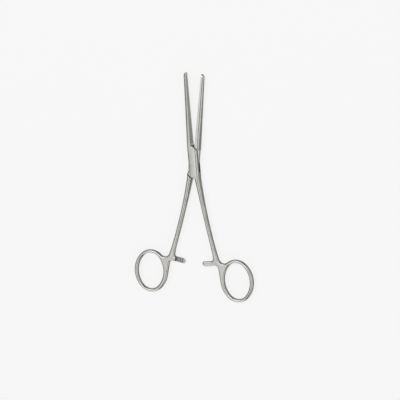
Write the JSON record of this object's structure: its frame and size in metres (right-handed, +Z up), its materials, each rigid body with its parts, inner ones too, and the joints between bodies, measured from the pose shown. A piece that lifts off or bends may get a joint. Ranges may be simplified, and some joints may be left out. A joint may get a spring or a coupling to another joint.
{
  "type": "uterine dressing forceps",
  "caption": "Long straight forceps with finger rings, a box lock, serrated tapering jaws and a ratchet between the shanks, standing part open.",
  "frame": {"origin": "on the pivot axis, where it meets the surface that the forceps lies on", "axes": "+Y towards the jaw tips, +X towards the ring of the half that carries the box, +Z up through the box lock"},
  "size_m": [0.1144, 0.1966, 0.0068],
  "materials": {
    "satin_steel": "satin",
    "pin_steel": "satin"
  },
  "bodies": {
    "box_side": {"box_half": "satin_steel", "pivot_pin": "pin_steel"},
    "tongue_side": {"tongue_half": "satin_steel"}
  },
  "joints": [
    {"name": "box_lock_pivot", "type": "hinge", "parent": "box_side", "child": "tongue_side", "pos_m": [0, 0, 0], "axis": [0, 0, -1], "range_deg": [-10.6, 34.4]}
  ]
}
